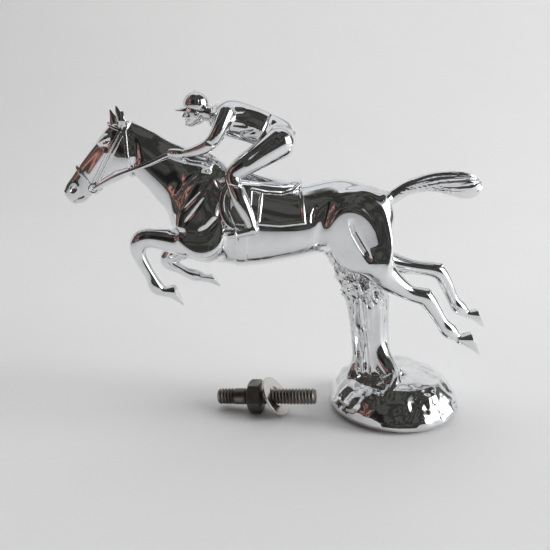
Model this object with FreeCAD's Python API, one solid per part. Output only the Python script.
import FreeCAD
import Part
import math
import os

# Hood ornament: a leaping racehorse and its rider, brazed up from castings on a tree-stump post and a
# rocky base, with the loose stud, nut and washer that fix it to a hood.
# Millimetres. Origin: centre of the base's underside. +Z up, the horse leaps towards -X, and its left
# (near) side faces -Y.

# ---- driving dimensions ----
BASE_R = 25.0            # base, largest radius
BASE_H = 14.0            # base, height at its middle
BASE_FLOOR_R = 22.5      # base, radius of its flat underside
TAP_R = 2.55             # tapping hole for a 1/4 in BSW stud
TAP_DEPTH = 10.0
WALL = 2.6               # wall of the hollow horse body
CLOTH_T = 0.9            # saddle cloth
SADDLE_T = 2.4           # saddle, over the cloth
STRAP_T = 0.6            # girth and bridle straps
PEG_R = 1.0              # locating pegs cast on the legs and the tail
PEG_L = 4.0
DOWEL_R = 2.0            # steel dowels through the stump
REIN_R = 0.45
LEG_Y = 8.0              # distance of each horse's leg from the middle plane

STUD_R = 3.175           # 1/4 in BSW stud, 1 1/2 in long
STUD_L = 38.1
PITCH = 1.27             # 20 threads per inch
THREAD_DEPTH = 0.64 * PITCH
CREST = (0.45, 0.55)     # a thread's crest, as shares of the pitch
SHORT_THREAD = 5 * PITCH          # threaded stretch that screws into the base
SHANK_END = STUD_L - 21 * PITCH   # where the plain shank ends and the long thread starts
SHANK_R = STUD_R - 0.1
THREAD_GAP = 0.1         # radial clearance of the nut's plain bore on the stud
NUT_AF = 11.3            # across flats
NUT_T = 5.0
NUT_START = 12.5         # nut's near face, from the stud's left end
NUT_CHAMFER = 0.9        # share of the corners taken off the nut's ends
WASHER_R = 7.94          # 5/8 in washer
WASHER_HOLE_R = 4.0
WASHER_T = 0.9
WASHER_EDGE = 0.25
WASHER_AT = 22.6         # washer's centre, from the stud's left end
WASHER_LEAN = 28.5       # washer's axis above the stud's axis, degrees
WASHER_TURN = -3.75      # and towards the near side
STUD_AT = (-68.7, -2.8, 4.45)     # stud's left end as it lies beside the base
STUD_YAW = -13.0
STUD_PITCH = 6.0

CLOTH_BOX = ((17.0, 40.0, 22.0), (-53.6, -20.0, 73.4))    # stretch of back under the saddle cloth: size, corner
SADDLE_BOX = ((29.0, 24.0, 16.0), (-66.0, -12.0, 82.5))   # stretch of back under the saddle
PEAK_BOX = ((5.2, 6.4, 0.7), (-83.0, -3.2, 112.9))        # flat blank of the cap's peak
PEAK_DROOP = 12.0
GIRTH_LINE = ((-58.8, 50.0), (-58.8, 82.0))
GIRTH_WIDTH = 4.6
BRIDLE_WIDTH = 1.2
NOSEBAND = ((-119.0, 93.0), (-110.4, 80.6))
HEAD_STRAP = ((-113.0, 84.0), (-101.0, 109.4))
BASE_DOWEL = ((-7.5, 0, 6.0), (-9.0, 0, 22.0))
STUMP_DOWEL = ((-14.0, 0, 50.0), (-16.0, 0, 64.0))
TAIL_PEG = ((-9.0, 0, 80.2), (-2.0, 0, 83.0))
REIN_PATH = [(-112.0, 4.4, 85.6), (-106.0, 5.6, 88.4), (-100.6, 6.2, 91.0), (-92.6, 6.6, 94.0), (-85.6, 5.4, 97.4)]
LEATHER_PATH = [(-65.6, 8.6, 88.0), (-66.2, 12.6, 80.0), (-62.6, 15.6, 73.6)]
LEATHER_R = 0.6
BIT_RING = (1.5, 0.4, (-113.4, 4.3, 85.6))                # ring radius, wire radius, place
IRON = (3.0, 0.55, (-60.6, 14.8, 71.2))

BASE_PROFILE = [(BASE_FLOOR_R, 0), (BASE_R, 4.0), (BASE_R - 1.6, 8.0),
                (BASE_R * 0.68, BASE_H - 2.2), (BASE_R * 0.34, BASE_H - 0.5), (0, BASE_H)]
NEAR_EAR = [(-100.9, -2.6, 107.0, 1.5), (-101.23, -2.7, 109.2, 1.4), (-101.9, -2.5, 113.9, 0.35)]
OFF_EAR = [(-103.0, 2.6, 106.8, 1.5), (-103.4, 2.7, 109.0, 1.4), (-104.2, 2.5, 112.5, 0.35)]

OVAL_POINTS = 16        # points on each oval outline
BALL_SWELL = 1.02
SHARP_BEND = math.radians(28)   # a limb gets a ball where it bends more than this
X_AXIS = FreeCAD.Vector(1, 0, 0)
Y_AXIS = FreeCAD.Vector(0, 1, 0)
Z_AXIS = FreeCAD.Vector(0, 0, 1)


def vec(x, y, z):
    return FreeCAD.Vector(x, y, z)


def oval(top, bottom, half_width, y=0.0):
    """Closed oval whose upper and lower points are (x, z), half_width to each side of y."""
    middle = vec((top[0] + bottom[0]) / 2, y, (top[1] + bottom[1]) / 2)
    rise = vec((top[0] - bottom[0]) / 2, 0, (top[1] - bottom[1]) / 2)
    points = []
    for i in range(OVAL_POINTS):
        turn = 2 * math.pi * i / OVAL_POINTS
        points.append(middle + rise * math.cos(turn) + Y_AXIS * (half_width * math.sin(turn)))
    curve = Part.BSplineCurve()
    curve.interpolate(Points=points, PeriodicFlag=True)
    return Part.Wire([curve.toShape()])


def grown(station, margin):
    """The same station with its outline moved out by margin."""
    top, bottom, half_width = station[:3]
    length = math.hypot(top[0] - bottom[0], top[1] - bottom[1])
    push = ((top[0] - bottom[0]) / length * margin, (top[1] - bottom[1]) / length * margin)
    new_top = (top[0] + push[0], top[1] + push[1])
    new_bottom = (bottom[0] - push[0], bottom[1] - push[1])
    return (new_top, new_bottom, half_width + margin) + tuple(station[3:])


def skin(stations, margin=0.0):
    """Solid lofted smoothly through oval stations."""
    return Part.makeLoft([oval(*grown(station, margin)) for station in stations], True, False)


def disc_wire(centre, heading, radius):
    """Round section square to heading, with its seam always on the same side."""
    across = Y_AXIS - heading * heading.dot(Y_AXIS)
    across.normalize()
    up = heading.cross(across)
    points = []
    for k in range(OVAL_POINTS):
        turn = 2 * math.pi * k / OVAL_POINTS
        points.append(centre + (up * math.cos(turn) + across * math.sin(turn)) * radius)
    ring = Part.BSplineCurve()
    ring.interpolate(Points=points, PeriodicFlag=True)
    return Part.Wire([ring.toShape()])


def bone(path):
    """Solid lofted through round sections square to a gently curving path."""
    centres = [vec(*entry[:3]) for entry in path]
    wires = []
    for i, centre in enumerate(centres):
        heading = centres[min(i + 1, len(path) - 1)] - centres[max(i - 1, 0)]
        heading.normalize()
        wires.append(disc_wire(centre, heading, path[i][3]))
    return Part.makeLoft(wires, True, len(wires) < 3)


def limb(path):
    """Limb whose path is (x, y, z, radius): one bone between sharp bends and a ball at each bend."""
    centres = [vec(*entry[:3]) for entry in path]
    bends = [0]
    for i in range(1, len(path) - 1):
        turn = (centres[i] - centres[i - 1]).getAngle(centres[i + 1] - centres[i])
        if turn > SHARP_BEND:
            bends.append(i)
    bends.append(len(path) - 1)
    bones = [bone(path[first:last + 1]) for first, last in zip(bends, bends[1:])]
    balls = [Part.makeSphere(path[i][3] * BALL_SWELL, centres[i]) for i in bends[1:]]
    return one_solid(bones[0].fuse(bones[1:] + balls))


def mirrored(path):
    return [(x, -y, z, r) for x, y, z, r in path]


def rod(start, end, radius):
    span = vec(*end) - vec(*start)
    return Part.makeCylinder(radius, span.Length, vec(*start), span)


def wire_rod(points, radius):
    """Round wire bent smoothly through points."""
    curve = Part.BSplineCurve()
    curve.interpolate([vec(*p) for p in points])
    start = curve.tangent(curve.FirstParameter)[0]
    ring = Part.Wire([Part.makeCircle(radius, vec(*points[0]), start)])
    return Part.Wire([curve.toShape()]).makePipeShell([ring], True, True)


def slab(start, end, thickness):
    """Flat plate across the model's width that follows the line start-end in the XZ plane."""
    run = vec(end[0] - start[0], 0, end[1] - start[1])
    plate = Part.makeBox(run.Length, 60, thickness, vec(0, -30, -thickness / 2))
    plate.rotate(vec(0, 0, 0), Y_AXIS, -math.degrees(math.atan2(run.z, run.x)))
    plate.translate(vec(start[0], 0, start[1]))
    return plate


def one_solid(shape):
    """The largest solid of a boolean's result."""
    return max(shape.Solids, key=lambda solid: solid.Volume)


# ---- outlines of the horse: (upper point, lower point, half width) ----
TRUNK = [
    ((-84.4, 82.0), (-84.0, 70.0), 4.5),
    ((-81.5, 91.0), (-81.5, 65.5), 8.5),
    ((-76.0, 96.0), (-76.0, 60.5), 10.3),
    ((-70.0, 96.6), (-70.0, 58.2), 11.0),
    ((-63.0, 92.0), (-63.0, 57.0), 11.4),
    ((-55.0, 89.3), (-55.0, 56.8), 11.6),
    ((-46.0, 87.3), (-46.0, 58.2), 11.7),
    ((-37.0, 86.4), (-37.0, 60.0), 11.6),
    ((-30.0, 87.8), (-30.0, 61.2), 11.8),
    ((-22.5, 88.4), (-22.5, 61.0), 12.0),
    ((-14.5, 86.4), (-14.5, 58.5), 11.4),
    ((-8.5, 84.2), (-8.5, 61.0), 9.4),
    ((-5.0, 81.0), (-5.0, 66.0), 5.0),
]
NECK = [
    ((-66.0, 93.5), (-79.0, 68.0), 8.0),
    ((-76.0, 98.2), (-85.3, 76.0), 7.0),
    ((-82.5, 100.7), (-89.2, 80.8), 5.6),
    ((-89.0, 104.0), (-93.3, 86.6), 4.9),
    ((-95.0, 107.3), (-97.5, 90.2), 4.5),
    ((-99.0, 108.3), (-99.5, 90.0), 4.3),
]
HEAD = [
    ((-97.5, 107.5), (-95.5, 91.5), 4.0),
    ((-104.5, 107.8), (-99.6, 89.0), 4.6),
    ((-109.8, 102.2), (-103.6, 87.2), 4.3),
    ((-113.4, 97.6), (-107.6, 86.3), 3.6),
    ((-116.6, 93.2), (-111.2, 84.6), 3.0),
    ((-119.9, 88.8), (-114.6, 82.2), 2.9),
    ((-122.2, 85.6), (-117.2, 80.0), 2.7),
    ((-122.9, 83.4), (-119.8, 80.2), 1.4),
]
THIGH = [
    ((-24.0, 82.0), (-11.0, 82.0), 2.0, -LEG_Y + 2.5),
    ((-29.0, 75.0), (-5.6, 76.0), 4.0, -LEG_Y + 1.0),
    ((-29.0, 69.0), (-4.8, 70.0), 4.8, -LEG_Y + 0.4),
    ((-25.0, 62.0), (-4.6, 63.0), 4.3, -LEG_Y),
    ((-18.0, 56.5), (-4.6, 57.0), 3.6, -LEG_Y),
    ((-14.0, 53.6), (-6.5, 54.0), 2.6, -LEG_Y),
]
TAIL = [
    ((-8.0, 82.8), (-6.5, 78.8), 2.0),
    ((-4.0, 84.8), (-2.6, 80.6), 2.2),
    ((0.0, 87.4), (1.6, 82.6), 2.4),
    ((6.8, 90.2), (7.2, 83.9), 3.0),
    ((14.0, 91.3), (14.2, 83.1), 3.6),
    ((21.8, 90.6), (21.2, 81.2), 3.8),
    ((26.6, 87.8), (25.6, 82.8), 2.6),
    ((27.7, 86.4), (27.2, 84.6), 1.2),
]
STUMP = [
    ((-29.0, 63.0), (-4.2, 63.0), 7.5),
    ((-26.5, 56.5), (-4.2, 56.5), 7.0),
    ((-21.8, 46.0), (-4.4, 46.0), 7.0),
    ((-19.8, 38.0), (-4.4, 38.0), 7.0),
    ((-18.0, 27.0), (-3.8, 27.0), 7.0),
    ((-17.0, 18.0), (-2.4, 18.0), 7.6),
    ((-17.5, 12.0), (2.0, 12.0), 9.5),
    ((-19.0, 7.0), (6.0, 7.0), 11.5),
]

# ---- limbs of the horse: (x, y, z, radius) along each bone line ----
NEAR_FORE = [
    (-72.0, -LEG_Y, 66.0, 5.6), (-80.0, -LEG_Y, 66.6, 4.9), (-88.0, -LEG_Y, 68.2, 4.1),
    (-94.6, -LEG_Y, 68.4, 3.9), (-96.2, -LEG_Y, 64.0, 3.1), (-94.2, -LEG_Y, 57.8, 2.2),
    (-90.6, -LEG_Y, 51.6, 2.1), (-88.6, -LEG_Y, 49.0, 2.6), (-85.6, -LEG_Y, 48.2, 2.6),
    (-82.4, -LEG_Y, 46.4, 2.9),
]
FAR_FORE = [
    (-72.0, LEG_Y, 65.0, 5.4), (-80.0, LEG_Y, 62.4, 4.4), (-87.6, LEG_Y, 58.6, 3.8),
    (-89.4, LEG_Y, 56.0, 3.0), (-85.4, LEG_Y, 54.4, 2.3), (-79.0, LEG_Y, 50.6, 2.1),
    (-76.2, LEG_Y, 49.4, 2.6), (-73.4, LEG_Y, 49.0, 2.4), (-70.2, LEG_Y, 47.4, 2.6),
]
NEAR_HIND = [
    (-10.0, -LEG_Y, 56.6, 5.2), (-4.5, -LEG_Y, 51.4, 4.4), (1.5, -LEG_Y, 47.6, 3.2),
    (7.8, -LEG_Y, 46.2, 3.4), (11.2, -LEG_Y, 42.4, 2.7), (15.4, -LEG_Y, 35.6, 2.3),
    (18.6, -LEG_Y, 31.8, 2.8), (22.0, -LEG_Y, 30.0, 2.2), (24.6, -LEG_Y, 28.0, 2.7),
    (27.2, -LEG_Y, 25.8, 2.6),
]
FAR_HIND = [
    (-8.0, LEG_Y, 57.0, 5.0), (0.0, LEG_Y, 54.6, 4.2), (8.0, LEG_Y, 53.4, 3.0),
    (15.6, LEG_Y, 52.2, 3.4), (19.0, LEG_Y, 47.6, 2.7), (22.8, LEG_Y, 39.8, 2.3),
    (25.6, LEG_Y, 35.8, 2.8), (29.0, LEG_Y, 34.6, 2.2), (31.6, LEG_Y, 33.2, 2.7),
    (34.0, LEG_Y, 31.0, 2.6),
]

# ---- rider ----
TORSO = [
    ((-69.5, 113.6), (-69.0, 107.4), 3.0),
    ((-65.5, 115.5), (-66.5, 104.6), 7.0),
    ((-57.0, 114.8), (-58.8, 102.0), 6.8),
    ((-50.0, 112.2), (-52.4, 100.6), 6.0),
    ((-44.5, 109.6), (-48.4, 98.4), 7.0),
    ((-41.0, 105.6), (-43.6, 97.2), 5.8),
    ((-40.4, 102.4), (-41.8, 98.6), 3.0),
]
SKULL = [
    ((-77.4, 113.0), (-78.6, 108.6), 1.8),
    ((-76.6, 117.8), (-77.4, 107.0), 3.6),
    ((-74.8, 119.1), (-75.0, 107.2), 4.2),
    ((-72.6, 118.6), (-71.4, 107.6), 4.1),
    ((-70.9, 116.4), (-69.4, 109.0), 2.8),
]
THIGH_JOCKEY = [
    (-45.5, -6.0, 100.6, 5.4), (-51.0, -8.2, 97.6, 5.0), (-57.0, -9.2, 94.4, 4.2),
    (-61.4, -9.2, 91.6, 3.2), (-61.2, -10.6, 87.4, 3.1), (-59.4, -12.4, 82.4, 3.2),
    (-56.6, -13.6, 76.6, 2.5), (-54.8, -14.2, 73.0, 2.2),
]
FOOT_JOCKEY = [
    (-53.2, -14.2, 71.6, 1.6), (-55.6, -14.4, 71.6, 1.8), (-59.6, -14.8, 71.0, 1.6),
    (-62.6, -15.0, 70.4, 1.0),
]
ARM = [
    (-64.0, -6.0, 111.0, 2.8), (-65.6, -8.0, 106.6, 2.6), (-67.8, -8.4, 102.2, 2.2),
    (-72.0, -7.8, 99.6, 2.0), (-77.6, -6.2, 98.0, 1.7), (-81.0, -5.4, 97.8, 1.9),
    (-84.2, -5.0, 98.2, 1.7),
]


def base_mound():
    """Solid round base with a domed top, a tapped hole and a dowel hole under the stump."""
    profile = Part.BSplineCurve()
    profile.interpolate([vec(radius, 0, height) for radius, height in BASE_PROFILE])
    floor = Part.makeLine(vec(0, 0, 0), vec(BASE_FLOOR_R, 0, 0))
    axis = Part.makeLine(vec(0, 0, BASE_H), vec(0, 0, 0))
    mound = Part.Face(Part.Wire([floor, profile.toShape(), axis])).revolve(vec(0, 0, 0), Z_AXIS, 360)
    return one_solid(mound).cut(Part.makeCylinder(TAP_R, TAP_DEPTH))


def horse_body():
    """Hollow trunk, with the thighs, neck and head cast on."""
    thighs = [skin(THIGH), skin([entry[:3] + (-entry[3],) for entry in THIGH])]
    outside = skin(TRUNK).fuse([skin(NECK), skin(HEAD)] + thighs + [limb(NEAR_EAR), limb(OFF_EAR)])
    hollow = skin(TRUNK[2:-2], -WALL)
    return outside.cut(hollow)


def seated(solid, *neighbours):
    """The solid with each neighbour's volume taken away, so that they meet face to face."""
    for neighbour in neighbours:
        solid = solid.cut(neighbour)
    return one_solid(solid)


def band(stations, start, end, width, thickness, inner):
    """Strap round a lofted form, where the slab along start-end crosses it."""
    ring = skin(stations, thickness).common(slab(start, end, width))
    return ring.cut(inner)


def thread(first, last):
    """Threaded bar along +X from first to last, its thread cut as ring grooves one pitch apart."""
    root = STUD_R - THREAD_DEPTH
    outline = [vec(first, 0, 0), vec(first, 0, root)]
    for i in range(round((last - first) / PITCH)):
        start = first + i * PITCH
        outline += [vec(start + PITCH * share, 0, STUD_R) for share in CREST]
        outline.append(vec(start + PITCH, 0, root))
    outline += [vec(last, 0, root), vec(last, 0, 0), vec(first, 0, 0)]
    return Part.Face(Part.makePolygon(outline)).revolve(vec(0, 0, 0), X_AXIS, 360)


def along_x(radius, first, last):
    return Part.makeCylinder(radius, last - first, vec(first, 0, 0), X_AXIS)


def mounting_stud():
    shank = along_x(SHANK_R, SHORT_THREAD, SHANK_END)
    return one_solid(shank.fuse([thread(0, SHORT_THREAD), thread(SHANK_END, STUD_L)]))


def hex_nut():
    corner_r = NUT_AF / math.sqrt(3)
    corners = []
    for i in range(7):
        turn = math.radians(60 * i)
        corners.append(vec(NUT_START, corner_r * math.cos(turn), corner_r * math.sin(turn)))
    prism = Part.Face(Part.makePolygon(corners)).extrude(vec(NUT_T, 0, 0))
    blank = along_x(corner_r, NUT_START, NUT_START + NUT_T)
    rims = [edge for edge in blank.Edges if isinstance(edge.Curve, Part.Circle)]
    prism = prism.common(blank.makeChamfer((corner_r - NUT_AF / 2) * NUT_CHAMFER, rims))
    bore = along_x(STUD_R + THREAD_GAP, NUT_START - 1, NUT_START + NUT_T + 1)
    return one_solid(prism.cut(bore))


def plain_washer():
    """Washer hanging tilted on the stud."""
    centre = vec(WASHER_AT, 0, 0)
    disc = Part.makeCylinder(WASHER_R, WASHER_T, centre - X_AXIS * (WASHER_T / 2), X_AXIS)
    rims = [edge for edge in disc.Edges if isinstance(edge.Curve, Part.Circle)]
    disc = disc.makeFillet(WASHER_EDGE, rims)
    hole = Part.makeCylinder(WASHER_HOLE_R, 2 * WASHER_T, centre - X_AXIS * WASHER_T, X_AXIS)
    washer = disc.cut(hole)
    washer.rotate(centre, Y_AXIS, -WASHER_LEAN)
    washer.rotate(centre, Z_AXIS, WASHER_TURN)
    return one_solid(washer)


def laid_out(shape):
    """Move a fixing from its own axis to where it lies beside the base."""
    shape.rotate(vec(0, 0, 0), Y_AXIS, -STUD_PITCH)
    shape.rotate(vec(0, 0, 0), Z_AXIS, STUD_YAW)
    shape.translate(vec(*STUD_AT))
    return shape


def box(size, corner):
    return Part.makeBox(*size, vec(*corner))


def on_side(points, side):
    return [(x, side * y, z) for x, y, z in points]


def bridle(horse):
    """Noseband and head strap."""
    straps = [skin(HEAD, STRAP_T).common(slab(start, end, BRIDLE_WIDTH)) for start, end in (NOSEBAND, HEAD_STRAP)]
    return seated(straps[0].fuse(straps[1]), horse)


def bit_ring(side):
    radius, wire, (x, y, z) = BIT_RING
    return Part.makeTorus(radius, wire, vec(x, side * y, z), Y_AXIS)


def stirrup(side):
    """Stirrup leather and the iron round the boot."""
    radius, wire, (x, y, z) = IRON
    leather = wire_rod(on_side(LEATHER_PATH, side), LEATHER_R)
    iron = Part.makeTorus(radius, wire, vec(x, side * y, z), vec(1, 0, 0.2))
    return one_solid(leather.fuse(iron))


def dowelled(parts):
    """Horse, base and stump, with the two steel dowels that key them."""
    horse = horse_body()
    base = base_mound()
    parts["base_dowel"] = rod(*BASE_DOWEL, DOWEL_R)
    parts["stump_dowel"] = rod(*STUMP_DOWEL, DOWEL_R)
    stump = seated(skin(STUMP), horse, base, parts["base_dowel"], parts["stump_dowel"])
    return seated(horse, parts["stump_dowel"]), seated(base, parts["base_dowel"]), stump


def legs_and_tail(parts, horse, stump):
    """Four legs and the tail with their cast pegs; returns the horse with the peg holes."""
    pegs = []
    for name, path in (("near_foreleg", NEAR_FORE), ("off_foreleg", FAR_FORE),
                       ("near_hind_leg", NEAR_HIND), ("off_hind_leg", FAR_HIND)):
        root = vec(*path[0][:3])
        peg = Part.makeCylinder(PEG_R, PEG_L + path[0][3], root, vec(*path[1][:3]) - root)
        parts[name] = one_solid(seated(limb(path), horse, stump).fuse(peg))
        pegs.append(peg)
    tail_peg = rod(*TAIL_PEG, PEG_R)
    parts["horse_tail"] = one_solid(seated(skin(TAIL), horse).fuse(tail_peg))
    return seated(horse, Part.makeCompound(pegs + [tail_peg]))


def saddlery(parts, horse):
    cloth = skin(TRUNK, CLOTH_T).common(box(*CLOTH_BOX)).cut(skin(TRUNK))
    saddle = seated(skin(TRUNK, SADDLE_T).common(box(*SADDLE_BOX)), horse, skin(TRUNK), cloth)
    girth = band(TRUNK, *GIRTH_LINE, GIRTH_WIDTH, STRAP_T, skin(TRUNK))
    parts["saddle_cloth"] = one_solid(cloth)
    parts["saddle"] = saddle
    parts["girth"] = seated(girth, saddle)


def rider(parts, horse):
    torso = skin(TORSO)
    skull = seated(skin(SKULL), torso)
    cap_peak = box(*PEAK_BOX)
    cap_peak.rotate(cap_peak.BoundBox.Center, Y_AXIS, -PEAK_DROOP)
    parts["cap_peak"] = seated(cap_peak, skull)
    parts["jockey_head"] = skull
    near = [horse, parts["saddle_cloth"], parts["saddle"], parts["girth"]]
    for name, side in (("near", -1), ("off", 1)):
        thigh, foot, arm = (mirrored(path) if side > 0 else path for path in (THIGH_JOCKEY, FOOT_JOCKEY, ARM))
        leg = seated(limb(thigh).fuse(limb(foot)), torso, *near)
        arm = seated(limb(arm), torso, horse)
        rein = seated(wire_rod(on_side(REIN_PATH, side), REIN_R), arm, horse)
        parts[name + "_jockey_leg"] = leg
        parts[name + "_jockey_arm"] = arm
        parts[name + "_rein"] = rein
        parts[name + "_stirrup"] = seated(stirrup(side), leg, *near)
        parts[name + "_bit_ring"] = seated(bit_ring(side), rein, horse)
    parts["jockey_body"] = torso
    parts["bridle"] = seated(bridle(horse), parts["near_rein"], parts["off_rein"],
                             parts["near_bit_ring"], parts["off_bit_ring"])


def main():
    os.makedirs("parts", exist_ok=True)
    parts = {}
    horse, base, stump = dowelled(parts)
    horse = legs_and_tail(parts, horse, stump)
    saddlery(parts, horse)
    rider(parts, horse)
    parts["horse_body"] = horse
    parts["base_mound"] = base
    parts["tree_stump"] = stump
    for name, make in (("mounting_stud", mounting_stud), ("hex_nut", hex_nut), ("plain_washer", plain_washer)):
        parts[name] = laid_out(make())
    for name, shape in parts.items():
        shape.exportStep("parts/" + name + ".step")


main()
